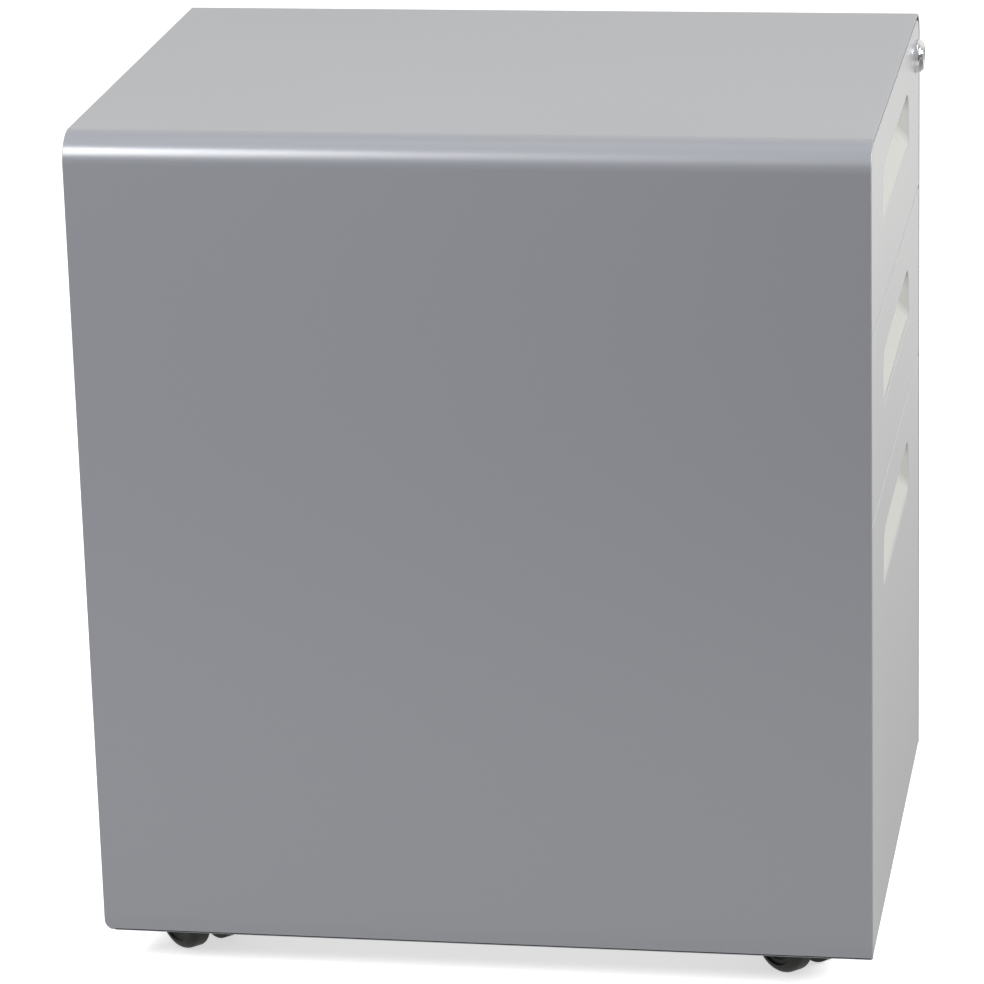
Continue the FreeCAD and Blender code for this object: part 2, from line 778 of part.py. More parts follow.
def make_file_rails():
    """The two flat bars that hanging files hook over."""
    bars = []
    for side in ("-", ""):
        bar = document.addObject("Part::Box", "file_rail")
        drive(bar, "Length", "file_rail_sheet")
        drive(bar, "Width", "box_depth - 2 * box_sheet")
        drive(bar, "Height", "file_rail_height")
        place(bar, side + "file_rail_spacing / 2 - file_rail_sheet / 2", "liner_y + box_sheet",
              "file_box_low + file_side_height - box_sheet - file_rail_height")
        bars.append(bar)
    keep(group("hanging_file_rails", bars), "hanging_file_rails")


def make_lock_barrel():
    """The lock's turned case, with its round bezel on the drawer's face."""
    body = new_body("lock_barrel")
    section = new_sketch(body, "XY_Plane")
    bore = "plug_radius + bearing_play"
    draw_square_outline(section, [
        (bore, "-bezel_height"), ("bezel_radius", "-bezel_height"), ("bezel_radius", "0"),
        ("barrel_radius", "0"), ("barrel_radius", "cam_y - roller_play"), (bore, "cam_y - roller_play")])
    turn_solid(body, section)
    reach = number("bezel_radius")
    round_edges(body, "bezel_round",
                lambda box: near(box.YMax, "-bezel_height") and box.XMax > reach - TOUCH)
    place(body, "lock_x", "face_y", "lock_z")
    keep(body, "lock_barrel")


def make_lock_plug():
    """The part that the key turns, with its key slot."""
    body = new_body("lock_plug")
    section = new_sketch(body, "XY_Plane")
    draw_box(section, "0", "plug_radius", "plug_recess - bezel_height", "cam_y + cam_thickness")
    turn_solid(body, section)
    slot = new_sketch(body, "XZ_Plane", "bezel_height - plug_recess")
    draw_box(slot, "-key_slot_width / 2", "key_slot_width / 2", "-key_slot_height / 2", "key_slot_height / 2")
    feature(body, "Pocket", slot, "key_slot_depth")
    place(body, "lock_x", "face_y", "lock_z")
    keep(body, "lock_plug")


def make_lock_nut():
    """The hexagon nut that clamps the barrel behind the liner."""
    blank = document.addObject("Part::Prism", "lock_nut_blank")
    blank.Polygon = NUT_SIDES
    drive(blank, "Circumradius", "lock_nut_radius")
    drive(blank, "Height", "lock_nut_height")
    place(blank, "lock_x", "liner_y + lock_nut_height", "lock_z", RIGHTWARD, "90")
    bore = cylinder("lock_nut_bore", "barrel_radius + fixed_play", "lock_nut_height",
                    "lock_x", "liner_y + lock_nut_height", "lock_z", RIGHTWARD, "90")
    nut = document.addObject("Part::Cut", "lock_nut")
    nut.Base = blank
    nut.Tool = bore
    keep(nut, "lock_nut")


def make_lock_cam():
    """The crank on the plug's tail; its pin lifts the lock bar."""
    body = new_body("lock_cam")
    plate = new_sketch(body, "XZ_Plane")
    draw_box(plate, "-cam_margin", "crank_throw + crank_pin_radius + crank_pin_margin", "-cam_margin",
             "cam_margin", "cam_corner")
    feature(body, "Pad", plate, "cam_thickness", back=True)
    bore = new_sketch(body, "XZ_Plane")
    draw_circle(bore, "0", "0", "plug_radius + fixed_play")
    feature(body, "Pocket", bore, "cam_thickness")
    pin = new_sketch(body, "XZ_Plane", "-cam_thickness")
    draw_circle(pin, "crank_throw", "0", "crank_pin_radius")
    feature(body, "Pad", pin, "crank_pin_length", back=True)
    place(body, "lock_x", "face_y + cam_y", "lock_z", REARWARD, "lock_turn / 2")
    keep(body, "lock_cam")


def make_lock_bar():
    """The bar behind the right edges of the fronts, with a hooked notch for each catch."""
    body = new_body("lock_bar")
    strip = new_sketch(body, "YZ_Plane")
    corners = [("bar_width", "bar_low"), ("bar_width", "bar_high"), ("0", "bar_high")]
    for drawer in ("top", "middle", "file"):
        pin = drawer + "_catch_z"
        high = pin + " + notch_half"
        low = pin + " - notch_half"
        pocket = pin + " - bar_lift - notch_half"
        corners += [("0", high), ("catch_y + notch_half", high), ("catch_y + notch_half", pocket),
                    ("catch_y - notch_half", pocket), ("catch_y - notch_half", low), ("0", low)]
    corners.append(("0", "bar_low"))
    draw_square_outline(strip, corners)
    feature(body, "Pad", strip, "bar_sheet")
    driver = new_sketch(body, "XZ_Plane", "-driver_y")
    reach = "driver_slot_half + driver_edge"
    draw_box(driver, "-driver_reach", "bar_sheet / 2", "driver_z - (" + reach + ")", "driver_z + " + reach)
    feature(body, "Pad", driver, "bar_sheet", back=True)
    slot = new_sketch(body, "XZ_Plane", "-driver_y")
    draw_box(slot, "-driver_reach + driver_edge", "-driver_edge", "driver_z - driver_slot_half",
             "driver_z + driver_slot_half")
    feature(body, "Pocket", slot, "bar_sheet")
    place(body, "bar_x", "bar_y", "0")
    keep(body, "lock_bar")


def make_bar_guides():
    """Two brackets on the right front upright that the lock bar slides in."""
    guides = []
    for drawer in ("file", "middle"):
        body = new_body("bar_guide")
        section = new_sketch(body, "XY_Plane")
        inner = "-guide_wall - bar_play"
        outer = "bar_sheet + bar_play"
        back = "bar_width + bar_play"
        foot = "inner_half - bar_x"
        rear = "upright_front - bar_y"
        draw_square_outline(section, [
            (inner, "bar_width / 2"), ("-bar_play", "bar_width / 2"), ("-bar_play", back),
            (outer, back), (outer, "bar_width / 2"), (outer + " + guide_wall", "bar_width / 2"),
            (outer + " + guide_wall", back), (foot, back), (foot, rear), (inner, rear)])
        feature(body, "Pad", section, "guide_height")
        place(body, "bar_x", "bar_y", drawer + "_catch_z + guide_rise")
        guides.append(body)
    keep(group("lock_bar_guides", guides), "lock_bar_guides")


def make_caster(corner, x, y):
    """One caster: its hood, axle and two wheels, which turn apart from each other."""
    hood = new_body("caster_" + corner + "_hood")
    fender = new_sketch(hood, "XY_Plane")
    inner = "wheel_radius + hood_gap"
    draw_box(fender, inner, inner + " + hood_wall", "-hood_half", "hood_half")
    turn_solid(hood, fender, "hood_sweep", back=True)
    crown = number(inner + " + hood_wall")
    round_edges(hood, "hood_round", lambda box: box.XLength > crown and near(box.ZMax, inner + " + hood_wall"))
    web = new_sketch(hood, "XZ_Plane")
    draw_polygon(web, [
        ("-web_half", "-web_half"), ("web_half", "-web_half"),
        ("caster_trail", "web_low"), ("caster_trail", "boss_top - hood_wall"),
        ("0", inner + " + hood_wall / 2"), ("-web_half", inner)])
    feature(hood, "Pad", web, "hood_web", middle=True)
    boss = new_sketch(hood, "XY_Plane")
    draw_circle(boss, "caster_trail", "0", "boss_radius")
    feature(hood, "Pad", boss, "boss_top")
    socket = new_sketch(hood, "XY_Plane", "boss_top")
    draw_circle(socket, "caster_trail", "0", "stem_radius + bearing_play")
    feature(hood, "Pocket", socket, "stem_depth")
    bore = new_sketch(hood, "XZ_Plane", "wheel_outer")
    draw_circle(bore, "0", "0", "axle_radius + fixed_play")
    feature(hood, "Pocket", bore, "2 * wheel_outer")
    ahead_x = x + " - caster_trail * cos(caster_turn * 1deg)"
    ahead_y = y + " - caster_trail * sin(caster_turn * 1deg)"
    place(hood, ahead_x, ahead_y, "wheel_radius", UP, "caster_turn")
    keep(hood, "caster_" + corner + "_hood")
    axle = new_body("caster_" + corner + "_axle")
    section = new_sketch(axle, "XY_Plane")
    end = "wheel_inner + hub_outer + roller_play"
    draw_square_outline(section, [
        ("0", "-(" + end + " + axle_head)"), ("axle_head_radius", "-(" + end + " + axle_head)"),
        ("axle_head_radius", "-(" + end + ")"), ("axle_radius", "-(" + end + ")"), ("axle_radius", end),
        ("axle_head_radius", end), ("axle_head_radius", end + " + axle_head"), ("0", end + " + axle_head")])
    turn_solid(axle, section)
    place(axle, ahead_x, ahead_y, "wheel_radius", UP, "caster_turn")
    keep(axle, "caster_" + corner + "_axle")
    make_wheel("caster_" + corner + "_wheel_a", ahead_x, ahead_y, "caster_turn")
    make_wheel("caster_" + corner + "_wheel_b", ahead_x, ahead_y, "caster_turn + 180")


def make_wheel(name, x, y, turn):
    """A moulded wheel: a rounded tread, a thin web and a hub."""
    body = new_body(name)
    section = new_sketch(body, "XY_Plane")
    inner = "wheel_inner"
    hub_start = "hood_web / 2 + roller_play"
    rim = "wheel_radius - wheel_rim"
    face = "wheel_inner + hub_outer"
    draw_square_outline(section, [
        ("axle_radius + bearing_play", hub_start), ("wheel_hub_radius", hub_start),
        ("wheel_hub_radius", face + " - wheel_web"), (rim, face + " - wheel_web"), (rim, inner),
        ("wheel_radius", inner), ("wheel_radius", "wheel_outer"), (rim, "wheel_outer"), (rim, face),
        ("axle_radius + bearing_play", face)])
    turn_solid(body, section)
    reach = number("wheel_radius")
    round_edges(body, "wheel_round", lambda box: box.XMax > reach - TOUCH and near(box.YMin, "wheel_outer")
                and near(box.YMax, "wheel_outer"))
    place(body, x, y, "wheel_radius", UP, turn)
    keep(body, name)


def make_stems(places):
    """The casters' fixed stems, each with its flange under the base pan, and their nuts."""
    stems = []
    nuts = []
    under = "caster_height - stem_flange"
    above = "pan_sheet + stem_nut_height + stem_tip"
    for x, y in places:
        stem = cylinder("stem", "stem_radius", "stem_depth + stem_flange + " + above,
                        x, y, under + " - stem_depth")
        flange = cylinder("stem_flange", "stem_flange_radius", "stem_flange", x, y, under)
        stems.append(join("caster_stem", [stem, flange]))
        blank = document.addObject("Part::Prism", "stem_nut_blank")
        blank.Polygon = NUT_SIDES
        drive(blank, "Circumradius", "stem_nut_radius")
        drive(blank, "Height", "stem_nut_height")
        place(blank, x, y, "pan_top")
        nut = document.addObject("Part::Cut", "stem_nut")
        nut.Base = blank
        nut.Tool = cylinder("stem_nut_bore", "stem_radius + fixed_play", "stem_nut_height", x, y, "pan_top")
        nuts.append(nut)
    keep(group("caster_stems", stems), "caster_stems")
    keep(group("caster_nuts", nuts), "caster_nuts")


make_case_wrap()
make_back_panel()
make_back_rivets()
make_base_pan()
make_top_rail()
make_uprights()
for drawer, height, side_height, locked, bend in (
        ("top", "box_front_height", "box_side_height", True, "front_bend"),
        ("middle", "box_front_height", "box_side_height", False, None),
        ("file", "file_front_height", "file_side_height", False, None)):
    make_case_runners(drawer)
    make_rollers(drawer + "_case_rollers", "upright_face - roller_start",
                 "runner_front + front_roller_inset", drawer + "_box_low + runner_lift + case_roller_rise")
    make_drawer_front(drawer, height, drawer + "_front_low", locked, bend)
    make_drawer_liner(drawer, height, drawer + "_front_low", locked, bend)
    make_drawer_box(drawer, side_height)
    make_drawer_runners(drawer)
    make_rollers(drawer + "_drawer_rollers", "box_half + roller_start + roller_width",
                 "liner_y + box_depth - rear_roller_inset",
                 drawer + "_box_low + runner_lift + drawer_roller_rise")
    make_catch(drawer)
make_file_rails()
make_lock_barrel()
make_lock_nut()
make_lock_plug()
make_lock_cam()
make_lock_bar()
make_bar_guides()
caster_places = {
    "front_left": ("-caster_x", "caster_front_y"),
    "front_right": ("caster_x", "caster_front_y"),
    "rear_left": ("-caster_x", "caster_rear_y"),
    "rear_right": ("caster_x", "caster_rear_y"),
}
for corner, (x, y) in caster_places.items():
    make_caster(corner, x, y)
make_stems(caster_places.values())

document.recompute()
for thing in document.Objects:
    if "Invalid" in thing.State or "Error" in thing.State:
        raise RuntimeError(f"{thing.Label} failed: {thing.State}")
for node in nodes:
    if node.Shape.isNull() or not node.Shape.isValid():
        raise RuntimeError(f"{node.Label} has no valid shape")

os.makedirs("parts", exist_ok=True)
for node in nodes:
    node.Shape.exportStep(f"parts/{node.Label}.step")
print(len(nodes), "nodes")
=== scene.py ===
import json
import math

import bmesh
import bpy
from mathutils import Matrix, Vector


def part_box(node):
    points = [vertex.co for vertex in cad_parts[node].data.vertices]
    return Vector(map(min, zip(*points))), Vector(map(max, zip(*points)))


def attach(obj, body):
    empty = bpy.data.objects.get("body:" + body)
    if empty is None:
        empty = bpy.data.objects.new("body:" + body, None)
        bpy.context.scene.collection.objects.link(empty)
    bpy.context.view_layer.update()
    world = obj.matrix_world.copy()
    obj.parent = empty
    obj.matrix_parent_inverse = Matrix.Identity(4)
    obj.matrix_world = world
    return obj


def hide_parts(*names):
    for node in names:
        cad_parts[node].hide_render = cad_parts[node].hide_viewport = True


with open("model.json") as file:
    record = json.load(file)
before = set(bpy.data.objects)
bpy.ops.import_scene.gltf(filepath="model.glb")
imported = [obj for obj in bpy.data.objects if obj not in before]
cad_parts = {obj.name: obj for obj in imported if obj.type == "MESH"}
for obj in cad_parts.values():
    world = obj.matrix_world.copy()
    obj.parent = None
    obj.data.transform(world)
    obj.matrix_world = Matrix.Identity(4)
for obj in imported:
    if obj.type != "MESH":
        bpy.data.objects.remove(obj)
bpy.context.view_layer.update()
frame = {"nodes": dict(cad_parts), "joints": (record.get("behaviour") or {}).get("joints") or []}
nodes = frame["nodes"]
joints = {joint["name"]: joint for joint in frame["joints"]}
scene = bpy.context.scene
MM = 0.001

# Camera, at the photograph's angle

CAMERA_PLACE = (-3.0622, -0.50065, 1.2866)
CAMERA_RIGHT = (0.159943, -0.986767, -0.026649)
CAMERA_UP = (0.309103, 0.024426, 0.950715)
CAMERA_BACK = (-0.937483, -0.160297, 0.308919)
CAMERA_LENS = 173.344

camera_data = bpy.data.cameras.new("camera")
camera_data.lens = CAMERA_LENS
camera_data.sensor_width = 36
camera_data.clip_start = 0.05
camera_data.clip_end = 100
camera = bpy.data.objects.new("camera", camera_data)
turn = Matrix((CAMERA_RIGHT, CAMERA_UP, CAMERA_BACK)).transposed().to_4x4()
camera.matrix_world = Matrix.Translation(CAMERA_PLACE) @ turn
scene.collection.objects.link(camera)
scene.camera = camera
scene.view_settings.view_transform = "Standard"


# Materials

def new_material(name):
    material = bpy.data.materials.new(name)
    material.use_nodes = True
    tree = material.node_tree
    return material, tree, tree.nodes["Principled BSDF"]


def object_noise(tree, scale, detail=2.0, stretch=(1, 1, 1)):
    """A noise in the object's own coordinates, in metres."""
    place = tree.nodes.new("ShaderNodeTexCoord")
    mapping = tree.nodes.new("ShaderNodeMapping")
    mapping.inputs["Scale"].default_value = stretch
    tree.links.new(place.outputs["Object"], mapping.inputs["Vector"])
    noise = tree.nodes.new("ShaderNodeTexNoise")
    noise.inputs["Scale"].default_value = scale
    noise.inputs["Detail"].default_value = detail
    tree.links.new(mapping.outputs["Vector"], noise.inputs["Vector"])
    return noise.outputs["Fac"]


def vary(tree, source, low, high, socket):
    """Spread a noise between two numbers and put it on a socket."""
    spread = tree.nodes.new("ShaderNodeMapRange")
    spread.inputs["From Min"].default_value = 0.3
    spread.inputs["From Max"].default_value = 0.7
    spread.inputs["To Min"].default_value = low
    spread.inputs["To Max"].default_value = high
    tree.links.new(source, spread.inputs["Value"])
    tree.links.new(spread.outputs["Result"], socket)


def vary_colour(tree, source, dark, light, socket):
    """Spread a noise between two colours and put it on a socket."""
    ramp = tree.nodes.new("ShaderNodeValToRGB")
    ramp.color_ramp.elements[0].position = 0.3
    ramp.color_ramp.elements[1].position = 0.7
    ramp.color_ramp.elements[0].color = (*dark, 1)
    ramp.color_ramp.elements[1].color = (*light, 1)
    tree.links.new(source, ramp.inputs["Fac"])
    tree.links.new(ramp.outputs["Color"], socket)


def roughen(tree, shader, source, strength, distance):
    bump = tree.nodes.new("ShaderNodeBump")
    bump.inputs["Strength"].default_value = strength
    bump.inputs["Distance"].default_value = distance
    tree.links.new(source, bump.inputs["Height"])
    tree.links.new(bump.outputs["Normal"], shader.inputs["Normal"])


def paint(name, colour, rough=(0.22, 0.26), peel=0.03, coat=0.0, shine=0.5):
    """A smooth sprayed paint with the faintest unevenness."""
    material, tree, shader = new_material(name)
    dark = [part * 0.985 for part in colour]
    light = [part * 1.015 for part in colour]
    vary_colour(tree, object_noise(tree, 2.0, 0.0), dark, light, shader.inputs["Base Color"])
    vary(tree, object_noise(tree, 5.0, 0.0), *rough, shader.inputs["Roughness"])
    roughen(tree, shader, object_noise(tree, 900.0, 2.0), peel, 0.0001)
    shader.inputs["Specular IOR Level"].default_value = shine
    shader.inputs["Coat Weight"].default_value = coat
    shader.inputs["Coat Roughness"].default_value = 0.06
    return material


def metal(name, colour, rough, stretch=(1, 1, 1), scale=60.0, strength=0.05):
    """A bare or plated metal, drawn out along the axis whose stretch is small."""
    material, tree, shader = new_material(name)
    dark = [part * 0.93 for part in colour]
    vary_colour(tree, object_noise(tree, scale, 4.0, stretch), dark, colour, shader.inputs["Base Color"])
    vary(tree, object_noise(tree, scale * 2, 3.0, stretch), *rough, shader.inputs["Roughness"])
    roughen(tree, shader, object_noise(tree, scale * 8, 2.0, stretch), strength, 0.0002)
    shader.inputs["Metallic"].default_value = 1.0
    return material


def plastic(name, colour, rough, grain_scale=1200.0, grain=0.12):
    """A moulded plastic with a fine grain."""
    material, tree, shader = new_material(name)
    light = [part * 1.25 for part in colour]
    vary_colour(tree, object_noise(tree, 40.0), colour, light, shader.inputs["Base Color"])
    vary(tree, object_noise(tree, 25.0, 3.0), *rough, shader.inputs["Roughness"])
    roughen(tree, shader, object_noise(tree, grain_scale, 2.0), grain, 0.0002)
    return material


# The case and the drawer fronts wear one real paint. The case's copy is much darker: partly to offset its stronger
# shine, partly as painted shade on the sides and top.
case_paint = paint("case_paint", (0.214, 0.2205, 0.240), rough=(0.28, 0.30), shine=1.0)
front_paint = paint("front_paint", (0.34, 0.345, 0.36))
# The scoop is pressed in the same painted sheet as the front. Its lighter, warmer colour is painted light, standing in
# for the light its up-facing floor catches.
scoop_painted_light = paint("scoop_painted_light", (0.388, 0.39, 0.376))
inner_paint = paint("inner_paint", (0.30, 0.305, 0.32), rough=(0.35, 0.45), coat=0.2)
zinc = metal("zinc", (0.68, 0.69, 0.71), (0.30, 0.40), strength=0.015)
drawn_steel = metal("drawn_steel", (0.62, 0.63, 0.65), (0.32, 0.40), stretch=(1, 0.03, 1), scale=150.0, strength=0.01)
chrome = metal("chrome", (0.86, 0.87, 0.89), (0.04, 0.08), scale=20.0, strength=0.01)
nylon = plastic("nylon", (0.62, 0.60, 0.55), (0.35, 0.5), grain=0.04)
black_plastic = plastic("black_plastic", (0.012, 0.012, 0.013), (0.38, 0.5))
wheel_plastic = plastic("wheel_plastic", (0.004, 0.004, 0.0045), (0.4, 0.55))


def material_of(name):
    # The case takes the darker copy of the fronts' paint, which holds painted shade.
    if name in ("case_wrap", "back_panel", "back_panel_rivets"):
        return case_paint
    if name.endswith("_drawer_front"):
        return front_paint
    if name in ("base_pan", "top_rail") or name.startswith("upright"):
        return inner_paint
    if name.endswith(("_drawer_liner", "_drawer_box")):
        return inner_paint
    if name.endswith("_rollers"):
        return nylon
    if name in ("lock_barrel", "lock_plug"):
        return chrome
    if name.endswith("_hood"):
        return black_plastic
    if "_wheel_" in name:
        return wheel_plastic
    if name.endswith("_runners"):
        return drawn_steel
    return zinc


def soften(node):
    """Give a CAD node's edges a fine bevel, which changes only how it shows."""
    for polygon in node.data.polygons:
        polygon.use_smooth = True
    weld = node.modifiers.new("weld", "WELD")
    weld.merge_threshold = 0.00001
    merge = node.modifiers.new("merge", "DECIMATE")
    merge.decimate_type = "DISSOLVE"
    merge.angle_limit = math.radians(0.5)
    bevel = node.modifiers.new("bevel", "BEVEL")
    bevel.width = 0.0002
    bevel.segments = 1
    bevel.limit_method = "ANGLE"
    bevel.angle_limit = math.radians(35)
    bevel.harden_normals = True


for name, node in nodes.items():
    node.data.materials.clear()
    node.data.materials.append(material_of(name))


# Shapes

def rounded(corners, steps=4, closed=True):
    """A line through points (a, b, radius) with each corner rounded."""
    count = len(corners)
    line = []
    for index, (a, b, *radius) in enumerate(corners):
        size = radius[0] if radius else 0
        inner = closed or 0 < index < count - 1
        if not size or not inner:
            line.append(Vector((a, b)))
            continue
        corner = Vector((a, b))
        before = (Vector(corners[index - 1][:2]) - corner).normalized()
        after = (Vector(corners[(index + 1) % count][:2]) - corner).normalized()
        half = before.angle(after) / 2
        reach = size / math.tan(half)
        start, end = corner + before * reach, corner + after * reach
        for step in range(steps + 1):
            t = step / steps
            weights = ((1 - t) ** 2, 2 * t * (1 - t) * math.sin(half), t * t)
            line.append((start * weights[0] + corner * weights[1] + end * weights[2]) / sum(weights))
    return line


def rectangle(half, low, high, radii, steps=6, middle=0.0):
    """A rectangle's outline, each corner with its own radius, always with as many points."""
    lower_right, upper_right, upper_left, lower_left = [max(radius, 0.00002) for radius in radii]
    corners = [(middle + half, low, lower_right), (middle + half, high, upper_right),
               (middle - half, high, upper_left), (middle - half, low, lower_left)]
    return rounded(corners, steps)


def skin(mesh, loops, closed=True, turned=False):
    """Faces between rows of vertices."""
    for first, second in zip(loops, loops[1:]):
        count = len(first)
        for index in range(count if closed else count - 1):
            after = (index + 1) % count
            corners = [first[index], first[after], second[after], second[index]]
            mesh.faces.new(corners)


def row(mesh, points):
    return [mesh.verts.new(point) for point in points]


def finish_piece(name, mesh, material, body, stands_for=(), sharp=35, tidy=True, bevel=0.0):
    """Turn a bmesh into a piece that rides on a body and stands for CAD nodes."""
    if tidy:
        bmesh.ops.remove_doubles(mesh, verts=mesh.verts, dist=0.000001)
        bmesh.ops.recalc_face_normals(mesh, faces=mesh.faces)
    for face in mesh.faces:
        face.smooth = True
    for edge in mesh.edges:
        if len(edge.link_faces) == 2:
            edge.smooth = edge.calc_face_angle(0) < math.radians(sharp)
    data = bpy.data.meshes.new(name)
    mesh.to_mesh(data)
    mesh.free()
    data.materials.append(material)
    piece = bpy.data.objects.new(name, data)
    scene.collection.objects.link(piece)
    if bevel:
        cut = piece.modifiers.new("bevel", "BEVEL")
        cut.width = bevel
        cut.segments = 2
        cut.limit_method = "ANGLE"
        cut.angle_limit = math.radians(sharp)
        cut.harden_normals = True
    weigh = piece.modifiers.new("normals", "WEIGHTED_NORMAL")
    weigh.keep_sharp = True
    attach(piece, body)
    if stands_for:
        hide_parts(*stands_for)
    return piece


def lathe(mesh, profile, matrix, steps=64, closed=True, sweep=360.0, start=0.0):
    """Turn a profile of (radius, height) points about the matrix's own Z."""
    whole = abs(sweep - 360) < 0.001
    rows = []
    for step in range(steps if whole else steps + 1):
        angle = math.radians(start + sweep * step / steps)
        rows.append(row(mesh, [matrix @ Vector((r * math.cos(angle), r * math.sin(angle), h)) for r, h in profile]))
    if whole:
        rows.append(rows[0])
    skin(mesh, rows, closed=closed)
    if not whole and closed:
        mesh.faces.new(rows[0])
        mesh.faces.new(list(reversed(rows[-1])))


def extrude(mesh, outline, matrix, length):
    """A solid from a flat outline, drawn along the matrix's own Z."""
    near = row(mesh, [matrix @ Vector((a, b, 0)) for a, b in outline])
    far = row(mesh, [matrix @ Vector((a, b, length)) for a, b in outline])
    skin(mesh, [near, far])
    mesh.faces.new(near)
    mesh.faces.new(list(reversed(far)))


# The bent sheet over the case

SHEET = 1.0 * MM
EDGE_STEPS = 6


def make_wrap():
    """The top and sides as one bent sheet: a fold at the front, turned-in lower edges, rounded lower rear corners."""
    low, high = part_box("case_wrap")
    half = high.x
    front, rear = low.y, high.y
    bend = 19.5 * MM
    hem = 12 * MM
    corner = 7 * MM
    lower = 10 * MM
    lean = 0.35 * MM
    stations = []
    for step in range(9):
        stations.append((half, low.z + 0.6 * MM + (corner - 0.6 * MM) * (1 - math.cos(step / 8 * math.pi / 2)), (-1, 0)))
    for rise in (lower - 0.8 * MM, lower + 0.8 * MM, lower + 20 * MM, lower + 140 * MM, lower + 260 * MM, lower + 380 * MM):
        stations.append((half, low.z + rise, (-1, 0)))
    for step in range(25):
        angle = math.radians(90 * step / 24)
        stations.append((half - bend + bend * math.cos(angle), high.z - bend + bend * math.sin(angle),
                         (-math.cos(angle), -math.sin(angle))))
    for share in (0.75, 0.5, 0.25):
        stations.append(((half - bend) * share, high.z, (0, -1)))
    stations.append((0, high.z, (0, -1)))
    mirrored = [(-x, z, (-inward[0], inward[1])) for x, z, inward in reversed(stations[:-1])]
    mesh = bmesh.new()
    rows = []
    for x, z, inward in stations + mirrored:
        up = z - low.z
        back = rear
        if up < corner:
            back = rear - corner + math.sqrt(max(corner ** 2 - (corner - up) ** 2, 0))
        tilt = lean * max(0.0, min(1.0, (lower + 0.8 * MM - up) / (lower - 1 * MM)))
        section = []
        for step in range(9):
            angle = math.radians(180 * step / 8)
            section.append((SHEET * (1 - math.cos(angle)), front + SHEET * (1 - math.sin(angle))))
        section += [(2 * SHEET, front + hem * 0.5), (2 * SHEET, front + hem - 0.3 * MM), (1.7 * SHEET, front + hem),
                    (SHEET, front + hem), (SHEET, front + 60 * MM), (SHEET, rear - 60 * MM),
                    (SHEET, back - 0.3 * MM), (0.7 * SHEET, back), (0.3 * SHEET, back), (0, back - 0.3 * MM),
                    (0, rear - 60 * MM), (0, front + 60 * MM)]
        rows.append(row(mesh, [Vector((x + inward[0] * (depth + tilt), y, z + inward[1] * depth))
                               for depth, y in section]))
    skin(mesh, rows)
    mesh.faces.new(rows[0])
    mesh.faces.new(list(reversed(rows[-1])))
    for side in (-1, 1):
        outline = rounded([
            (0.35 * MM, low.z, 0.45 * MM), (2 * SHEET, low.z, 0.9 * MM), (2 * SHEET, low.z + lower, 0.3 * MM),
            (SHEET + 0.01 * MM, low.z + lower, 0.2 * MM), (SHEET + 0.01 * MM, low.z + 1.2 * MM),
            (0.35 * MM, low.z + 1.2 * MM)], 5)
        across = Vector((-side, 0, 0))
        length = rear - front - corner - 1 * MM
        matrix = Matrix((across, (0, 0, 1), (0, 1, 0))).transposed().to_4x4()
        matrix.translation = Vector((side * half, front + 1 * MM, 0))
        extrude(mesh, outline, matrix, length)
    finish_piece("wrap", mesh, case_paint, "case", ["case_wrap"], sharp=40, tidy=True)


def make_back():
    """The back panel, whose edge turns round into its flange."""
    low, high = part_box("back_panel")
    bend = 18.5 * MM
    fold = 1.6 * MM
    mesh = bmesh.new()
    rows = []

    def loop(inset, y):
        radii = [0.6 * MM, bend, bend, 0.6 * MM]
        points = rectangle(high.x - inset, low.z + inset, high.z - inset, [max(r - inset, 0) for r in radii])
        return row(mesh, [Vector((p.x, y, p.y)) for p in points])

    wall = SHEET
    rows.append(loop(wall, low.y + 0.3 * MM))
    rows.append(loop(wall * 0.7, low.y))
    rows.append(loop(wall * 0.3, low.y))
    rows.append(loop(0, low.y + 0.3 * MM))
    for step in range(EDGE_STEPS + 1):
        angle = math.radians(90 * step / EDGE_STEPS)
        rows.append(loop(fold * (1 - math.cos(angle)), high.y - fold + fold * math.sin(angle)))
    skin(mesh, rows)
    mesh.faces.new(rows[-1])
    inner = [rows[0], loop(wall, high.y - wall)]
    skin(mesh, inner)
    mesh.faces.new(list(reversed(inner[-1])))
    finish_piece("back", mesh, case_paint, "case", ["back_panel"])


# Drawer fronts with their scooped pulls

PULL_HALF = 106 * MM
PULL_HEIGHT = 38 * MM
PULL_DROP = 32.5 * MM
PULL_DEPTH = 14 * MM
PULL_CORNER = 9 * MM
PULL_MOUTH_CORNERS = (6 * MM, 16 * MM, 16 * MM, 6 * MM)
PULL_SEAM = 0.6 * MM
PULL_FLOOR_RISE = 20 * MM
PULL_ROOF_RISE = 5 * MM
PULL_END_TAPER = 22 * MM
PULL_LIP = 1.6 * MM
PULL_FILLET = 7 * MM
FRONT_REACH = 0.5 * MM


def curve_between(start, corner, end, steps):
    """Points on a smooth bend from start to end, drawn towards the corner."""
    return [start * (1 - t) ** 2 + corner * 2 * t * (1 - t) + end * t * t
            for t in (step / steps for step in range(steps + 1))]


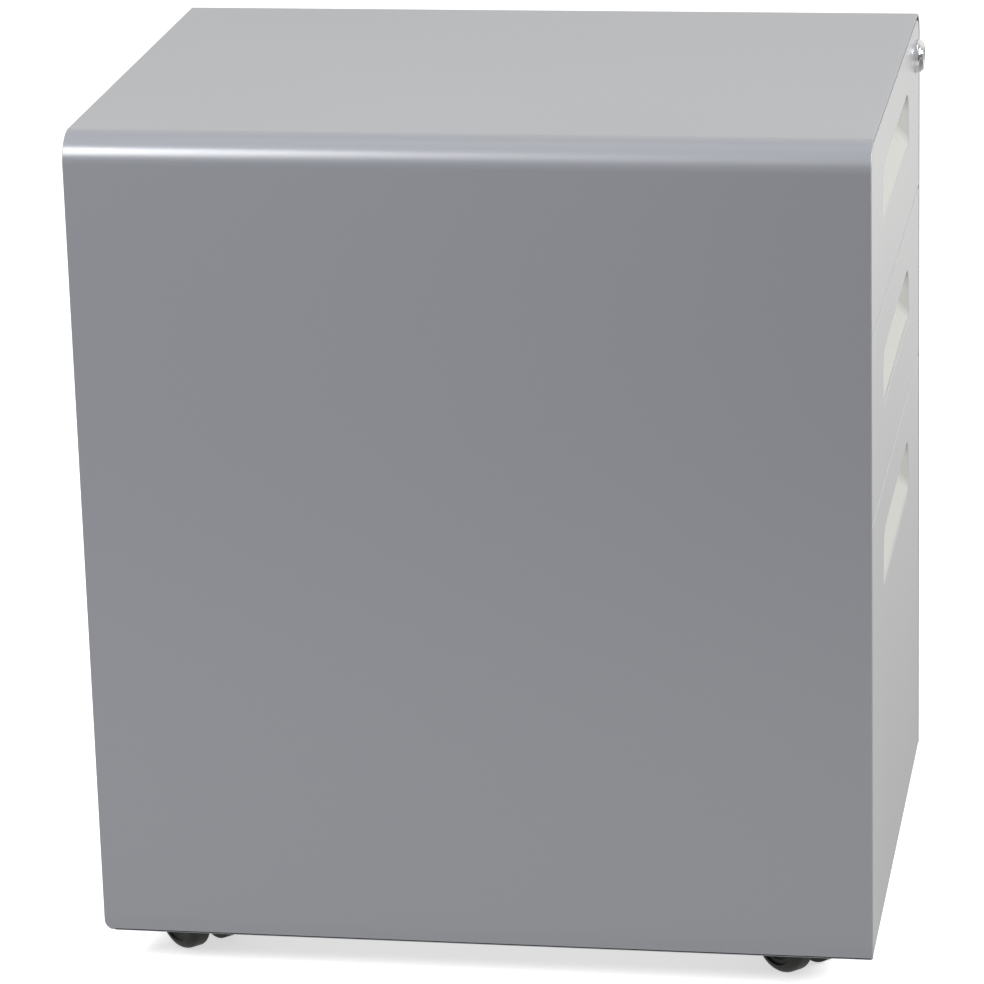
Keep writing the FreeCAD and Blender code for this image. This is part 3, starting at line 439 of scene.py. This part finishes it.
def make_front(drawer, top_radius=0.0):
    """A pressed front: folded edges, a flat face and a scoop whose lip and floor are rounded."""
    low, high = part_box(drawer + "_drawer_front")
    if drawer != "top":
        high.z += FRONT_REACH
    if drawer != "file":
        low.z -= FRONT_REACH
    fold = 0.7 * MM
    small = 1.2 * MM
    wall = SHEET
    mesh = bmesh.new()
    radii = [small, max(top_radius, small), max(top_radius, small), small]

    def loop(inset, y):
        points = rectangle(high.x - inset, low.z + inset, high.z - inset,
                           [max(r - inset, 0.05 * MM) for r in radii], 10)
        return row(mesh, [Vector((p.x, y, p.y)) for p in points])

    rows = [loop(wall, low.y + 4 * MM), loop(wall, high.y - 0.25 * MM), loop(wall * 0.75, high.y),
            loop(wall * 0.25, high.y), loop(0, high.y - 0.25 * MM)]
    for step in range(EDGE_STEPS + 1):
        angle = math.radians(90 * step / EDGE_STEPS)
        rows.append(loop(fold * (1 - math.cos(angle)), low.y + fold * (1 - math.sin(angle))))
    skin(mesh, rows)
    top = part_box(drawer + "_drawer_front")[1].z - PULL_DROP
    bottom = top - PULL_HEIGHT
    mouth = rectangle(PULL_HALF, bottom, top, PULL_MOUTH_CORNERS, 10)
    deep = rectangle(PULL_HALF - PULL_END_TAPER, bottom + PULL_FLOOR_RISE, top + PULL_ROOF_RISE, [PULL_CORNER] * 4, 10)
    count = len(mouth)
    lips = []
    walls = []
    for index in range(count):
        edge = Vector((mouth[index].x, low.y, mouth[index].y))
        end = Vector((deep[index].x, low.y + PULL_DEPTH, deep[index].y))
        along = mouth[(index + 1) % count] - mouth[index - 1]
        outward = Vector((along.y, 0, -along.x)).normalized()
        wall_line = (end - edge).normalized()
        lip = curve_between(edge + outward * PULL_LIP, edge, edge + wall_line * PULL_LIP, 5)
        inward = -outward
        fillet = curve_between(end - wall_line * PULL_FILLET, end, end + inward * PULL_FILLET, 6)
        seam = PULL_SEAM * max(outward.z, abs(outward.x), 0)
        lips.append(lip + [lip[-1] + wall_line * PULL_LIP])
        walls.append([lip[-1] + inward * seam] + fillet)
    skin(mesh, [rows[-1]] + [row(mesh, [lip[level] for lip in lips]) for level in range(len(lips[0]))])
    finish_piece(drawer + "_front", mesh, front_paint, drawer + "_drawer",
                 [drawer + "_drawer_front"], sharp=50)
    mesh = bmesh.new()
    rows = [row(mesh, [wall[level] for wall in walls]) for level in range(len(walls[0]))]
    skin(mesh, rows)
    mesh.faces.new(rows[-1])
    # The scoop takes the lighter copy of the front paint, which holds painted light.
    finish_piece(drawer + "_front_scoop", mesh, scoop_painted_light, drawer + "_drawer",
                 [drawer + "_drawer_front"], sharp=50)


# Drawer boxes

def make_box(drawer):
    """A folded tray with rounded corners and a rim rolled inwards."""
    low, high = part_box(drawer + "_drawer_box")
    rim = 5 * MM
    corner = 3 * MM
    middle_y = (low.y + high.y) / 2
    mesh = bmesh.new()

    def loop(inset, z, radius=corner):
        points = rectangle(high.x - inset, low.y + inset - middle_y, high.y - inset - middle_y,
                           [max(radius - inset, 0.1 * MM)] * 4, 6)
        return row(mesh, [Vector((p.x, p.y + middle_y, z)) for p in points])

    rows = [loop(2 * MM, low.z, 4 * MM), loop(0.6 * MM, low.z + 0.4 * MM), loop(0, low.z + 1.4 * MM)]
    for step in range(5):
        angle = math.radians(90 * step / 4)
        rows.append(loop(1.6 * MM * (1 - math.cos(angle)), high.z - 1.6 * MM + 1.6 * MM * math.sin(angle)))
    rows.append(loop(rim - 0.4 * MM, high.z, 6 * MM))
    rows.append(loop(rim, high.z - 0.4 * MM, 6 * MM))
    rows.append(loop(rim, high.z - 0.8 * MM, 6 * MM))
    rows.append(loop(rim - 0.3 * MM, high.z - SHEET, 6 * MM))
    rows.append(loop(SHEET, high.z - SHEET - 0.2 * MM))
    rows.append(loop(SHEET, low.z + SHEET + 2 * MM))
    for step in range(1, 4):
        angle = math.radians(90 * step / 3)
        rows.append(loop(SHEET + 2 * MM * (1 - math.cos(angle)), low.z + SHEET + 2 * MM * (1 - math.sin(angle)), 5 * MM))
    skin(mesh, rows)
    mesh.faces.new(list(reversed(rows[0])))
    mesh.faces.new(rows[-1])
    finish_piece(drawer + "_tray", mesh, inner_paint, drawer + "_drawer",
                 [drawer + "_drawer_box"], sharp=50)


# Lock

def make_lock():
    """A chromed bezel and, inside it, the plug with its key slot."""
    turn_joint = joints["lock_turn"]
    centre = Vector(turn_joint["pos_m"])
    barrel_low, barrel_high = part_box("lock_barrel")
    plug_low, plug_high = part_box("lock_plug")
    matrix = Matrix((Vector((1, 0, 0)), Vector((0, 0, -1)), Vector((0, 1, 0)))).transposed().to_4x4()
    matrix.translation = Vector((centre.x, 0, centre.z))
    face = centre.y
    front = barrel_low.y
    radius = (barrel_high.x - barrel_low.x) / 2
    bore = 6.08 * MM
    barrel = 9.5 * MM
    profile = rounded([
        (bore, front + 0.9 * MM, 0.3 * MM), (bore + 1.0 * MM, front, 0.5 * MM), (radius - 2.6 * MM, front, 1.4 * MM),
        (radius, front + 2.8 * MM, 2.2 * MM), (radius, face, 0.2 * MM), (barrel, face), (barrel, barrel_high.y, 0.3 * MM),
        (bore, barrel_high.y)], 6)
    mesh = bmesh.new()
    lathe(mesh, profile, matrix, 96)
    finish_piece("lock_bezel", mesh, chrome, "top_drawer", ["lock_barrel"], sharp=45)
    mesh = bmesh.new()
    plug = 6 * MM
    count = 64
    slot_half, slot_long, slot_depth = 0.7 * MM, 3.5 * MM, 6 * MM

    def ring(r, y):
        return row(mesh, [matrix @ Vector((r * math.cos(math.tau * i / count), r * math.sin(math.tau * i / count), y))
                          for i in range(count)])

    def slot(grow, y):
        points = []
        for index in range(count):
            angle = math.tau * index / count
            side = math.cos(angle)
            b = math.sin(angle)
            straight = slot_long - slot_half
            points.append(Vector(((slot_half + grow) * side, (slot_half + grow) * b + straight * max(-1, min(1, b * 3)), y)))
        return row(mesh, [matrix @ point for point in points])

    start = plug_low.y
    rows = [ring(plug, plug_high.y), ring(plug, start + 0.5 * MM), ring(plug - 0.15 * MM, start + 0.15 * MM),
            ring(plug - 0.5 * MM, start), slot(0.25 * MM, start), slot(0, start + 0.25 * MM), slot(0, start + slot_depth)]
    skin(mesh, rows)
    mesh.faces.new(rows[0])
    mesh.faces.new(list(reversed(rows[-1])))
    finish_piece("lock_core", mesh, chrome, "lock_plug", ["lock_plug"], sharp=45)


# Casters

def make_wheel(name, joint, body):
    """A moulded wheel with a crowned, rounded tread, a dished face and a small cap."""
    centre = Vector(joint["pos_m"])
    axis = Vector(joint["axis"]).normalized()
    if name.endswith("_b"):
        axis.negate()
    across = axis.orthogonal().normalized()
    matrix = Matrix((across, axis.cross(across), axis)).transposed().to_4x4()
    matrix.translation = centre
    radius = 25 * MM
    inner, outer = 8.6 * MM, 22.2 * MM
    hub_start = 7.3 * MM
    face = outer - 1.6 * MM
    profile = rounded([
        (3.08 * MM, hub_start), (8 * MM, hub_start, 0.4 * MM), (8 * MM, face - 3 * MM, 1 * MM),
        (18.5 * MM, face - 3 * MM, 1 * MM), (18.5 * MM, inner, 0.4 * MM), (radius, inner, 0.8 * MM),
        (radius, outer, 6 * MM), (18.8 * MM, outer, 0.6 * MM), (18.2 * MM, face, 0.6 * MM),
        (15.5 * MM, face, 0.8 * MM), (14.5 * MM, face - 0.8 * MM, 0.8 * MM), (8.5 * MM, face - 0.8 * MM, 0.8 * MM),
        (7.5 * MM, face, 0.6 * MM), (3.08 * MM, face)], 6)
    mesh = bmesh.new()
    lathe(mesh, profile, matrix, 96)
    finish_piece(name, mesh, wheel_plastic, body, [body], sharp=40)


for drawer, radius in (("top", 15.7 * MM), ("middle", 0.0), ("file", 0.0)):
    make_front(drawer, radius)
    make_box(drawer)
make_wrap()
make_back()
make_lock()
for corner in ("front_left", "front_right", "rear_left", "rear_right"):
    for letter in "ab":
        body = f"caster_{corner}_wheel_{letter}"
        make_wheel(f"wheel_{corner}_{letter}", joints[body + "_roll"], body)

for node in nodes.values():
    if not node.hide_render:
        soften(node)

# Studio

WHITE = (1, 1, 1, 1)


def soft_light(name, place, target, size, power, colour=(1, 1, 1)):
    data = bpy.data.lights.new(name, "AREA")
    data.shape = "RECTANGLE"
    data.size, data.size_y = size
    data.energy = power
    data.color = colour
    lamp = bpy.data.objects.new(name, data)
    lamp.location = place
    lamp.rotation_mode = "QUATERNION"
    lamp.rotation_quaternion = (Vector(target) - Vector(place)).to_track_quat("-Z", "Y")
    scene.collection.objects.link(lamp)


def spread_between(tree, value, start, end, low, high):
    """A smooth step of a value from low at start to high at end."""
    step = tree.nodes.new("ShaderNodeMapRange")
    step.interpolation_type = "SMOOTHSTEP"
    step.inputs["From Min"].default_value = start
    step.inputs["From Max"].default_value = end
    step.inputs["To Min"].default_value = low
    step.inputs["To Max"].default_value = high
    tree.links.new(value, step.inputs["Value"])
    return step.outputs["Result"]


FLOOR_HALF = 30
floor_mesh = bpy.data.meshes.new("floor")
floor_mesh.from_pydata(
    [(-FLOOR_HALF, -FLOOR_HALF, 0), (FLOOR_HALF, -FLOOR_HALF, 0), (FLOOR_HALF, FLOOR_HALF, 0),
     (-FLOOR_HALF, FLOOR_HALF, 0)], [], [(0, 1, 2, 3)])
floor = bpy.data.objects.new("floor", floor_mesh)
scene.collection.objects.link(floor)
floor_material, tree, shader = new_material("floor")
shader.inputs["Base Color"].default_value = (0.80, 0.80, 0.80, 1)
shader.inputs["Roughness"].default_value = 0.9
shader.inputs["Specular IOR Level"].default_value = 0.0
shader.inputs["Emission Color"].default_value = WHITE
shader.inputs["Emission Strength"].default_value = 0.62
# Camera rays see the evenly bright floor. All other rays see the floor glow with painted light and shade: dimmer
# towards -X and towards the front, brighter far out to +X.
seen = tree.nodes.new("ShaderNodeLightPath")
painted_floor_glow = tree.nodes.new("ShaderNodeEmission")
painted_floor_glow.inputs["Color"].default_value = (1.0, 0.985, 0.955, 1)
place = tree.nodes.new("ShaderNodeTexCoord")
apart = tree.nodes.new("ShaderNodeSeparateXYZ")
tree.links.new(place.outputs["Object"], apart.inputs["Vector"])
beside = spread_between(tree, apart.outputs["X"], -1.55, -0.65, 0.22, 0.78)
ahead = spread_between(tree, apart.outputs["Y"], -1.2, -0.3, 0.55, 1.0)
both = tree.nodes.new("ShaderNodeMath")
both.operation = "MULTIPLY"
tree.links.new(beside, both.inputs[0])
tree.links.new(ahead, both.inputs[1])
# Painted shadow: past x = -0.1 the glow falls to 0.55 of itself, standing in for the shade the case casts on the floor
# beside it. Farther to +X, added glow lifts it again.
shaded = tree.nodes.new("ShaderNodeMath")
shaded.operation = "MULTIPLY"
tree.links.new(both.outputs["Value"], shaded.inputs[0])
tree.links.new(spread_between(tree, apart.outputs["X"], -0.3, -0.1, 1.0, 0.55), shaded.inputs[1])
far = tree.nodes.new("ShaderNodeMath")
tree.links.new(shaded.outputs["Value"], far.inputs[0])
tree.links.new(spread_between(tree, apart.outputs["X"], 0.0, 2.3, 0.0, 0.42), far.inputs[1])
tree.links.new(far.outputs["Value"], painted_floor_glow.inputs["Strength"])
choice = tree.nodes.new("ShaderNodeMixShader")
tree.links.new(seen.outputs["Is Camera Ray"], choice.inputs["Fac"])
tree.links.new(painted_floor_glow.outputs["Emission"], choice.inputs[1])
tree.links.new(shader.outputs["BSDF"], choice.inputs[2])
tree.links.new(choice.outputs["Shader"], tree.nodes["Material Output"].inputs["Surface"])
floor_mesh.materials.append(floor_material)

world = bpy.data.worlds.new("studio")
scene.world = world
world.use_nodes = True
tree = world.node_tree
background = tree.nodes["Background"]
place = tree.nodes.new("ShaderNodeTexCoord")
apart = tree.nodes.new("ShaderNodeSeparateXYZ")
tree.links.new(place.outputs["Generated"], apart.inputs["Vector"])
rightward = spread_between(tree, apart.outputs["X"], -0.2, 0.7, 0.0, 1.0)
tint = tree.nodes.new("ShaderNodeMixRGB")
tree.links.new(rightward, tint.inputs["Fac"])
tint.inputs["Color1"].default_value = (0.97, 0.99, 1.03, 1)
tint.inputs["Color2"].default_value = (1.0, 0.99, 0.95, 1)
tree.links.new(tint.outputs["Color"], background.inputs["Color"])
backdrop = tree.nodes.new("ShaderNodeMix")
tree.links.new(rightward, backdrop.inputs["Factor"])
tree.links.new(spread_between(tree, apart.outputs["Z"], 0.0, 1.0, 0.20, 0.43), backdrop.inputs["A"])
backdrop.inputs["B"].default_value = 0.95
tree.links.new(backdrop.outputs["Result"], background.inputs["Strength"])
plain = tree.nodes.new("ShaderNodeBackground")
plain.inputs["Color"].default_value = WHITE
seen = tree.nodes.new("ShaderNodeLightPath")
choice = tree.nodes.new("ShaderNodeMixShader")
tree.links.new(seen.outputs["Is Camera Ray"], choice.inputs["Fac"])
tree.links.new(background.outputs["Background"], choice.inputs[1])
tree.links.new(plain.outputs["Background"], choice.inputs[2])
tree.links.new(choice.outputs["Shader"], tree.nodes["World Output"].inputs["Surface"])

soft_light("rear_light", (-1.75, 1.08, 1.84), (-0.2, 0.2, 0.5), (0.85, 1.05), 48, (0.98, 0.99, 1.02))
soft_light("left_light", (-1.0, 0.3, 2.25), (-0.2, 0.3, 0.5), (1.1, 3.0), 10, (0.98, 0.99, 1.01))
soft_light("front_light", (-0.3, -2.3, 1.5), (0.0, -0.25, 0.4), (1.2, 1.0), 72, (1.0, 0.995, 0.97))
